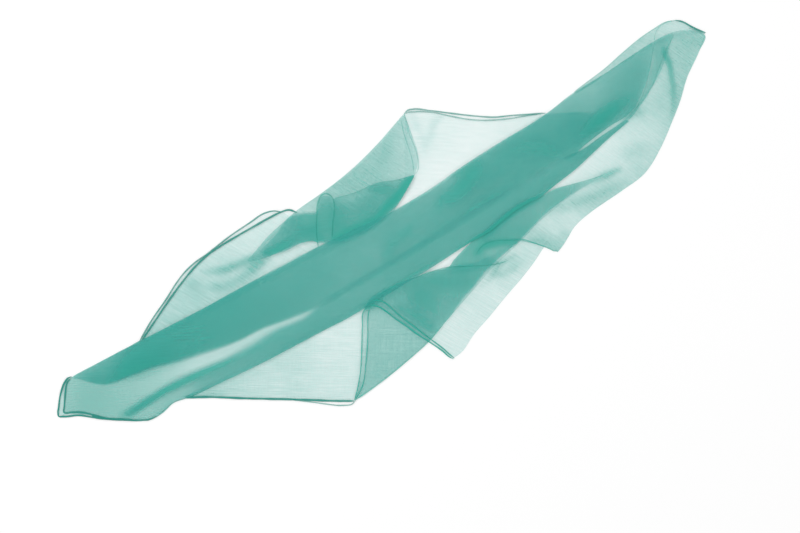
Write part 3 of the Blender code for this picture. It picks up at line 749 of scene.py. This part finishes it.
RIGHT_END = [
    (267.5, 178, 270.5, 176, 0, 5, 5, 5, 0, 0),
    (289.5, 194.5, 292.5, 189, 0, 6, 6, 6, 0, 0),
    (310, 210, 313, 203, 0, 6.5, 6.5, 6, 0, 3),
    (333.5, 231, 339.5, 219, 0, 6.5, 6.5, 6, 0, 3.5),
    (358.5, 252, 369, 236.5, 0, 6.5, 6.5, 6, 0, 5.5),
    (377.5, 265, 395.5, 243, 0, 5.5, 5.5, 5.5, 0, 11),
    (394.5, 275, 416.5, 250, 0, 4.6, 4.6, 4.4, 0, 11),
    (408, 277.5, 431.5, 253, 0, 4.6, 4.6, 4, 0, 11),
    (432, 268, 442.5, 256, 0, 5, 5, 4, 0, 7),
    (449.5, 261.5, 449.5, 258, 0, 5, 5, 5, 0, 0),
]
FAN_BACK = [
    (-335.5, -168, -331.5, -169.5, 0, 4, 4, 4, 0, 0),
    (-320, -139, -301, -164, 0, 3.2, 3.8, 4, 0, 11),
    (-299, -109, -256.5, -140.5, 0, 3, 3.6, 3.6, 0, 11),
    (-272.5, -71.5, -208, -114, 0, 2.8, 3.2, 2.8, 0, 11),
    (-241.5, -45.5, -166, -93, 0, 2.2, 2.8, 2.6, 0, 11),
    (-210, -22.5, -124.5, -72.5, 0, 1.8, 2.2, 2, 0, 11),
    (-182, -3.5, -99.5, -60, 0, 1.6, 1.9, 1.9, 0, 11),
    (-162.5, 10, -78.5, -50, 0, 1.5, 1.8, 1.9, 0, 11),
    (-150.5, 13.5, -66, -41.5, 0, 1.5, 1.8, 1.9, 0, 11),
    (-138.5, 11.5, -57.5, -36, 0, 1.5, 1.8, 1.9, 0, 11),
]
FAN_FRONT = [
    (-333, -167, -330, -169, 0, 3, 3, 3, 0, 0),
    (-315.5, -141.5, -299.5, -163.5, 0, 2.6, 3, 3.4, 0, 11),
    (-293.5, -109, -255, -139, 0, 2.6, 3, 3, 0, 11),
    (-276.5, -86, -230, -125, 0, 2.6, 3.2, 3, 0, 11),
    (-260, -66, -205, -112.5, 0, 2.2, 2.6, 2.4, 0, 11),
    (-228, -39, -164.5, -91.5, 0, 1.8, 2.2, 2.2, 0, 11),
    (-200, -22, -138.5, -79, 0, 1.6, 1.8, 1.9, 0, 11),
    (-175.5, -8, -106.5, -62.5, 0, 1.6, 1.7, 1.9, 0, 11),
    (-155, 3.5, -88.5, -54, 0, 1.6, 1.7, 1.9, 0, 11),
    (-141, 10.5, -76, -47.5, 0, 1.6, 1.7, 1.9, 0, 11),
    (-117.5, 11, -63, -40.5, 0, 1.6, 1.7, 1.9, 0, 11),
]
FAN_MARKS = [
    [(-255, -72.5, 4, 5.5, 0, 0), (-235.5, -71.5, 5.5, 5.5, 3.5, 0.8), (-216, -68, 5.5, 5.5, 7, 1.6), (-199.5, -62, 5.5, 5.5, 7, 1.6), (-183, -55, 5.5, 5.5, 7, 1.4), (-169, -48.5, 5.5, 5.5, 4, 0.8)],
    [(-245.5, -90.5, 5.5, 5.5, 0, 0), (-227.5, -92.5, 7, 7, 3.5, 0.9), (-208, -89, 7, 7, 3.5, 1.1), (-188.5, -76.5, 7, 7, 4.5, 1.0), (-171.5, -61, 7, 7, 9, 0.8), (-159, -51.5, 5.5, 5.5, 4, 0.3)],
    [(-271.5, -83.5, 8.5, 8.5, 0, 0), (-263.5, -87.5, 9.5, 9.5, 1.8, 0.4), (-252.5, -100, 9.5, 9.5, 1.4, 0.4), (-235.5, -108.5, 8.5, 8.5, 0, 0)],
]
PLEAT_OUTER = [
    (-185.5, -55.5, -183, -58.5, 0, 3, 3, 3, 0, 0),
    (-175, -44, -162, -53, 0, 6, 6, 6, 0, 0),
    (-160.5, -26.5, -138.5, -43, 0, 7, 7, 7, 0, 0),
    (-140, -7, -112, -32, 0, 7, 7, 7, 0, 0),
    (-117.5, 13, -88.5, -30.5, 0, 6.5, 7, 7, 0, 0),
    (-87.5, 34, -63, -39, 0, 7, 7, 7.4, 0, 11),
    (-57.5, 56.5, -27, -25, 0, 8.2, 8.3, 7.2, 0, 11),
    (-29, 81.5, 10.5, 5, 0, 7.9, 8.1, 7, 0, 11),
    (-2, 109, 26.5, 27, 0, 6.9, 6.9, 5.2, 0, 0),
    (16.5, 130.5, 45.5, 61, 0, 6.0, 5.3, 4.4, 0, 0),
    (27, 142, 51, 80, 0, 6.4, 4.4, 4, 0, 0),
    (31.5, 147.5, 35, 135, 0, 5, 4.2, 4, 0, 0),
]
PLEAT_MARKS = [
    [(-166, -44.5, 5.5, 5.5, 2, 0.2), (-151, -44, 7, 5.5, 15, 0.6), (-137.5, -37.5, 7, 5.5, 13, 0.6), (-123, -26.5, 7, 7, 5, 0.4), (-109, -18, 7, 7, 4, 0.2), (-94, -11, 7, 7, 4, 0)],
    [(19, 129.5, 4, 4, 0, 0), (12, 111, 7, 7, 0.8, 0.5), (2, 86, 7, 7, 1.0, 0.6), (-10.5, 61, 7, 7, 0, 0)],
]
PLEAT_INNER = [
    (-169, -43, -163.5, -52.5, 0, 3, 4, 5, 0, 0),
    (-148, -22, -134.5, -43.5, 0, 6, 7, 9, 0, 0),
    (-124.5, 7.5, -110.5, -32, 0, 9, 10, 10, 4, 0),
    (-107.5, 12, -96.5, -29, 0, 10.5, 12, 12, 5.5, 0),
    (-90, 14, -88.5, -32, 0, 11, 15, 14, 5.5, 0),
    (-87, 28, -85.5, -32.5, 0, 4.5, 14, 12, 0, 4),
    (-81.5, 33.5, -78, -32.5, 0, 4.5, 14, 11, 0, 5.5),
    (-71.5, 32.5, -70, -32, 0, 4.5, 14, 11, 0, 5.5),
    (-68, 29, -66.5, -32, 0, 5, 14, 13, 0, 5.5),
    (-64, 30.5, -60, -35, 0, 6, 14, 15, 0, 11),
    (-50.5, 33.5, -41, -29, 0, 4.5, 10, 14, 0, 11),
    (-34, 39, -12, -15.5, 0, 4.5, 9.5, 12.5, 0, 11),
    (-5, 51.5, 12, 5.5, 0, 6, 8, 9, 0, 11),
    (20, 55.5, 28.5, 30.5, 0, 6, 8, 9, 0, 0),
    (44.5, 62.5, 45, 60, 0, 14, 18, 22, 0, 0),
]
PLEAT_INNER_MARKS = [
    [(43, 60.5, 4, 4, 14, 0), (32, 46, 7, 5, 26, 0.4), (19, 30.5, 8.5, 5, 28, 0.5), (6.5, 17.5, 7, 5, 24, 0.5), (-5, 5.5, 5.5, 4, 16, 0.3), (-32.5, -8.5, 5, 4, 12, 0.3), (-60, -22, 5, 4, 10, 0.2), (-70, -28, 4, 4, 4, 0)],
    [(-13, 44.5, 5.5, 5.5, 4, 0), (0.5, 43, 8.5, 8.5, 5, 0.2), (14.5, 41.5, 8.5, 8.5, 4, 0), (23, 41.5, 5.5, 5.5, 0, 0)],
    [(-57.5, 28, 5.5, 5.5, -2, 0), (-41, 30.5, 5.5, 5.5, -3, 0), (-21.5, 37.5, 5.5, 5.5, -2, 0)],
]
FLAG_BACK = [
    (-77, 41.5, -66, -36, 0, 1.2, 1.2, 1.2, 0, 11),
    (-50.5, 60.5, -41, -22, 0, 1.2, 1.2, 1.2, 0, 11),
    (-21.5, 85, -10.5, -8.5, 0, 1.2, 1.2, 1.2, 0, 11),
    (9, 119.5, 3.5, 1.5, 0, 1.2, 1.2, 0.9, 0, 11),
    (33, 149.5, 12, 5.5, 0, 1.4, 1.2, 0.6, 0, 11),
    (41.5, 153.5, 28.5, 8.5, 0, 1.2, 1.2, 0.6, 0, 11),
    (67.5, 153, 64.5, 30.5, 0, 1.1, 1.1, 0.6, 0, 11),
    (99, 148.5, 103.5, 60, 0, 1, 1, 0.6, 0, 11),
    (130, 145, 134, 79, 0, 1.0, 0.9, 1.0, 0, 11),
    (158, 143.5, 169, 103, 0, 1.1, 1.1, 1.1, 0, 11),
    (178.5, 145.5, 192.5, 114, 0, 1.2, 1.2, 1.2, 0, 11),
    (206.5, 147.5, 220.5, 135, 0, 1.3, 1.3, 1.3, 0, 8.5),
    (227.5, 148.5, 233, 145.5, 0, 1.3, 1.3, 1.3, 0, 0),
]
FLAG_FRONT = [
    (32.5, 147.5, 31.5, 33.5, 0, 1.2, 1.1, 0.6, 0, 11),
    (46.5, 150, 42.5, 18, 0, 1.1, 1, 0.6, 0, 11),
    (71, 149, 69, 32, 0, 1.1, 1.1, 0.6, 0, 11),
    (95, 144, 101, 57, 0, 1, 1, 0.6, 0, 11),
    (123, 139.5, 127, 75, 0, 1, 0.9, 1, 0, 11),
    (140.5, 138, 146.5, 89, 0, 1, 0.9, 1, 0, 11),
    (158, 138.5, 167.5, 101.5, 0, 1, 1, 1, 0, 11),
    (178.5, 140.5, 189.5, 112.5, 0, 1.1, 1.1, 1.1, 0, 11),
    (199.5, 144.5, 210.5, 129.5, 0, 1.2, 1.2, 1.2, 0, 8.5),
    (220.5, 147.5, 226, 142, 0, 1.2, 1.2, 1.2, 0, 0),
]
FLAG_MARKS = [
    [(88.5, 147.5, 4, 5.5, 0, 0), (81.5, 142, 5, 7, 1.2, 0.6), (74.5, 135, 5, 7, 1.6, 0.9), (70, 122.5, 5.5, 7, 1.4, 0.9), (63, 108.5, 7, 7, 1.0, 0.6), (53.5, 94.5, 7, 7, 0, 0)],
    [(42.5, 147.5, 5.5, 5.5, 1.0, 0.2), (50.5, 128, 5.5, 7, 1.0, 0.4), (59, 104, 5.5, 7, 0.8, 0.3), (60.5, 76.5, 7, 7, 0, 0)],
    [(95, 55, 4, 4, 0, 0), (78.5, 43, 4, 4, 0.3, 0), (60.5, 33.5, 4, 4, 0.5, 0), (42.5, 22, 4, 4, 0.3, 0), (32.5, 16, 4, 4, 0, 0)],
]

sheet("flag_back", FLAG_BACK, creases=FLAG_MARKS[2:], grain=-3, node="top_flag")
sheet("flag_front", FLAG_FRONT, over=("flag_back",), creases=FLAG_MARKS[:2], grain=-4)
sheet("fan_back", FAN_BACK, grain=-28, node="left_fan", material=BIAS_CLOTH)
sheet("fan_front", FAN_FRONT, over=("fan_back",), creases=FAN_MARKS, grain=-34, material=BIAS_CLOTH)
sheet("pleat_outer", PLEAT_OUTER, over=("flag_back", "flag_front", "fan_back", "fan_front"),
      creases=PLEAT_MARKS, grain=-34, node="upper_left_pleat", material=DOUBLED_CLOTH)
sheet("pleat_inner", PLEAT_INNER, over=("flag_back", "flag_front", "fan_back", "fan_front", "pleat_outer"),
      creases=PLEAT_INNER_MARKS, grain=8, material=BAND_CLOTH)
sheet("lower_left", LOWER_LEFT, grain=-1, node="lower_left_panel")
sheet("wedge", WEDGE, over=("lower_left",), creases=WEDGE_MARKS, grain=88, node="wedge_fold", material=FOLDED_CLOTH)
sheet("lower_flap_sheet", LOWER_FLAP, over=("lower_left", "wedge"), creases=LOWER_FLAP_MARKS,
      grain=-30, node="lower_flap")
sheet("upper_flap_sheet", UPPER_FLAP, over=("wedge", "lower_flap_sheet"), creases=UPPER_FLAP_MARKS,
      grain=-36, node="upper_flap", material=DOUBLED_CLOTH)
sheet("right_wrap", RIGHT_END, over=("upper_flap_sheet",), grain=-25, node="right_end", material=DOUBLED_CLOTH)
sheet("band_base", BAND_BASE, over=("flag_back", "fan_back", "pleat_outer", "lower_left", "wedge", "upper_flap_sheet"),
      creases=BAND_BASE_MARKS, grain=2, node="left_end", material=BAND_CLOTH)
sheet("inner_panel", INNER_PANEL, over=("flag_back", "band_base"), grain=0, material=BAND_CLOTH)
rolled_fold("band_lower_fold", LOWER_FOLD,
            over=("flag_back", "fan_back", "pleat_outer", "lower_left", "wedge", "upper_flap_sheet", "band_base"),
            creases=LOWER_FOLD_MARKS, grain=3)
rolled_fold("band_upper_fold", UPPER_FOLD,
            over=("flag_back", "fan_back", "pleat_outer", "lower_left", "wedge", "upper_flap_sheet", "band_base", "inner_panel"),
            creases=UPPER_FOLD_MARKS, grain=4, node="body_band")

# ---------------------------------------------------------------- hems and fold edges
# A run: half its width, leaves, the sheets under it, its points.
FLAGS, FANS = ("flag_back", "flag_front"), ("fan_back", "fan_front")
hems("hems", [
    (1.0, 13, FLAGS[:1], [(31.5, 147.5), (36.5, 152.5), (43.5, 154), (67.5, 152), (99, 148), (130, 144.5), (158, 143), (178.5, 145), (206.5, 147), (228.5, 148.5)]),
    (0.95, 10, FLAGS, [(32, 147.5), (37, 149.5), (46.5, 150.5), (71, 149.5), (95, 144.5), (123, 139.5), (140.5, 138.5), (158, 139), (178.5, 141), (199.5, 144.5), (221.5, 148)]),
    (0.95, 18, FANS[:1], [(-336.5, -169), (-319.5, -139.5), (-298.5, -109), (-285, -87.5), (-272.5, -71.5), (-261.5, -61), (-241.5, -46.5), (-210, -22), (-182.5, -3.5), (-162.5, 9.5), (-151, 12.5), (-138.5, 11.5)]),
    (1.3, 28, FANS, [(-333, -167.5), (-315.5, -141.5), (-293.5, -109), (-276.5, -86), (-260, -66), (-246, -52.5), (-228, -39), (-200, -22), (-175.5, -8), (-155, 3.5), (-141, 10.5), (-128.5, 14), (-117.5, 10.5)]),
    (1.4, 28, ("lower_left",), [(-271.5, -246.5), (-245.5, -246), (-183, -248), (-113.5, -249.5), (-57.5, -251.5), (-38, -251.5)]),
    (0.85, 12, ("lower_left",), [(-127, -249.5), (-99.5, -252.5), (-78.5, -255.5), (-54, -257.5), (-40.5, -255.5), (-35.5, -250)]),
    (1.15, 42, ("band_base",), [(-430.5, -217.5), (-436, -220), (-439, -223.5), (-442, -229), (-444, -235), (-446, -242), (-447.5, -250), (-448.5, -260), (-449.5, -268.5), (-448.5, -272.5), (-442.5, -273), (-419, -271.5), (-405, -273.5), (-391.5, -275.5), (-374.5, -277), (-358, -278), (-337, -278.5)]),
    (1.3, 26, ("band_base",), [(-402.5, -272), (-391.5, -274.5), (-380, -276), (-369, -277), (-354, -278)]),
    (1.0, 26, ("band_base",), [(-347, -278), (-333.5, -278), (-324, -277.5), (-317.5, -275), (-312, -272)]),
    (0.6, 10, ("band_base",), [(-325.5, -279), (-312, -273), (-300, -262.5), (-287.5, -253), (-271.5, -247.5)]),
    (1.05, 36, ("band_base",), [(-432, -220.5), (-436, -224.5), (-438, -230), (-439, -237.5), (-440, -250), (-441, -261.5), (-441.5, -266.5), (-440.5, -267.5), (-430, -267), (-419, -267), (-405, -269.5), (-391.5, -273), (-377.5, -276), (-360.5, -276.5), (-344, -277.5)]),
    (1.05, 30, ("right_wrap",), [(408, 277.5), (416.5, 276), (432, 268), (450.5, 260)]),
    (0.7, 10, ("right_wrap", "upper_flap_sheet"), [(426.5, 266.5), (437.5, 263.5), (449, 259)]),
], HEM_CLOTH)

# The same hem where it lies folded over other cloth.
hems("folded_hems", [
    (0.8, 19, ("lower_left", "wedge"), [(-37.5, -250), (-34, -237.5), (-30, -216.5), (-27.5, -180), (-26.5, -147.5), (-25, -127.5), (-21.5, -122.5), (-16, -119.5)]),
    (0.75, 18, ("lower_left", "wedge"), [(-37, -251), (-26.5, -230.5), (-21.5, -198), (-19, -162), (-18.5, -133), (-16, -119.5)]),
    (0.8, 31, ("lower_left", "wedge", "lower_flap_sheet"), [(-16, -115.5), (-9, -111.5), (-2, -112), (6.5, -116), (16, -124.5), (25.5, -133), (46, -148.5), (65.5, -163.5), (85.5, -178.5), (95, -187), (101, -192)]),
    (0.9, 35, ("lower_left", "wedge", "lower_flap_sheet"), [(-16, -118), (-4, -120.5), (6.5, -127), (16, -134.5), (35.5, -148), (47.5, -157), (64.5, -168), (85.5, -182.5), (95, -190.5), (100, -193)]),
    (0.6, 6, ("pleat_outer",), [(27.5, 137.5), (31, 121), (36.5, 104), (40.5, 91.5), (43.5, 79), (44.5, 65.5)]),
    (0.55, 5.5, ("pleat_outer",), [(31.5, 148), (33.5, 140), (38, 121), (45, 104), (49, 91.5), (51.5, 78.5), (50.5, 69.5), (45, 61)]),
    (1.0, 9, ("pleat_outer", "pleat_inner"), [(-87.5, -39), (-89.5, -25), (-90, 3), (-87, 28), (-82.5, 35), (-75, 36.5), (-69, 32), (-66.5, 26.5), (-67.5, -4), (-69, -29)]),
    (0.5, 5, ("pleat_outer", "pleat_inner"), [(-66, 30), (-37, 38), (-16, 47.5), (-2, 52.5), (19, 55), (44, 62)]),
    (0.55, 5, ("right_wrap", "upper_flap_sheet"), [(409.5, 277.5), (399.5, 276), (391.5, 272.5), (385.5, 268), (381.5, 261.5), (379, 253), (378.5, 246), (376.5, 233.5), (371.5, 209), (364.5, 178), (354, 155.5)]),
    (0.55, 6, ("right_wrap", "upper_flap_sheet"), [(406, 259), (397.5, 240.5), (387, 216), (376.5, 188.5), (363, 167.5), (349.5, 150)]),
], FOLDED_HEM_CLOTH)

# The plain folded edges, where the cloth turns back in a very small loop.
hems("fold_edges", [
    (0.7, 12, ("lower_left", "wedge"), [(-35.5, -249.5), (-6.5, -229), (31.5, -199), (67, -167), (87, -143.5)]),
    (0.45, 4, ("lower_left", "wedge"), [(87, -143.5), (105, -122.5), (127, -97), (150, -70), (171, -49.5), (194, -28), (217.5, -3), (249, 22.5)]),
    (0.4, 2.5, ("lower_flap_sheet",), [(100, -192), (111.5, -183), (128.5, -158.5), (151, -132.5), (176.5, -101.5), (196, -79), (209.5, -61.5), (221.5, -44)]),
    (0.4, 4, ("upper_flap_sheet",), [(449.5, 257.5), (440.5, 233), (424, 197), (415, 166), (404, 138), (388, 101), (365.5, 65), (334, 41), (290.5, 11), (269, -8), (251.5, -36), (246, -43)]),
    (0.45, 8, ("right_wrap",), [(267.5, 178), (289.5, 194.5), (310, 210), (333.5, 231), (358.5, 252), (377.5, 265), (394.5, 275), (408, 277.5)]),
    (0.45, 4, ("pleat_outer",), [(-185.5, -55.5), (-175, -44), (-160.5, -26.5), (-140, -7), (-117.5, 13), (-87.5, 34), (-57.5, 56.5), (-29, 81.5), (-2, 109), (16.5, 130.5), (31.5, 147.5)]),
    (0.45, 4, ("band_base",), [(-428.5, -217), (-398, -201), (-366, -184.5), (-331.5, -166), (-279.5, -140.5), (-196, -94.5), (-90, -38), (-37.5, -13)]),
    (0.6, 5, ("band_base",), [(-72, -30.5), (-37.5, -13), (-9.5, 0.5), (11.5, 10.5)]),
    (0.4, 2.5, ("band_base",), [(11.5, 10.5), (61, 38.5), (110.5, 73), (165.5, 108.5), (214, 137.5), (237.5, 154), (262.5, 174)]),
    (0.6, 8, ("band_base",), [(-270, -248), (-239, -233), (-202.5, -216), (-165, -198), (-129, -179), (-87.5, -157), (-40, -132.5)]),
    (0.45, 3, ("band_base",), [(-41, -132), (-16, -117.5), (15.5, -98.5), (65.5, -68), (95, -49.5), (120, -33)]),
    (0.4, 5, ("band_base",), [(227.5, 38), (244, 51.5), (269.5, 71), (292, 91.5), (318.5, 116), (342, 138)]),
    (0.7, 9, ("lower_left", "wedge"), [(45, -80.5), (70, -71.5), (93.5, -65.5), (105, -65), (127, -64), (151, -62.5), (164.5, -60), (174.5, -56.5)]),
    (0.8, 12, ("wedge", "upper_flap_sheet"), [(131.5, -47.5), (137, -39), (146.5, -32), (160, -28.5), (178.5, -28), (195, -27), (211, -31.5), (225, -36.5), (234, -40), (241, -43), (245.5, -43)]),
    (0.55, 5, ("wedge", "upper_flap_sheet"), [(220.5, 34), (232, 39.5), (243.5, 44), (266.5, 50), (283, 54.5), (301.5, 60), (312, 64.5)]),
    (1.0, 12, ("lower_left", "wedge"), [(-25.5, -121), (-16, -116), (-6.5, -110.5)]),
], FOLDED_HEM_CLOTH)
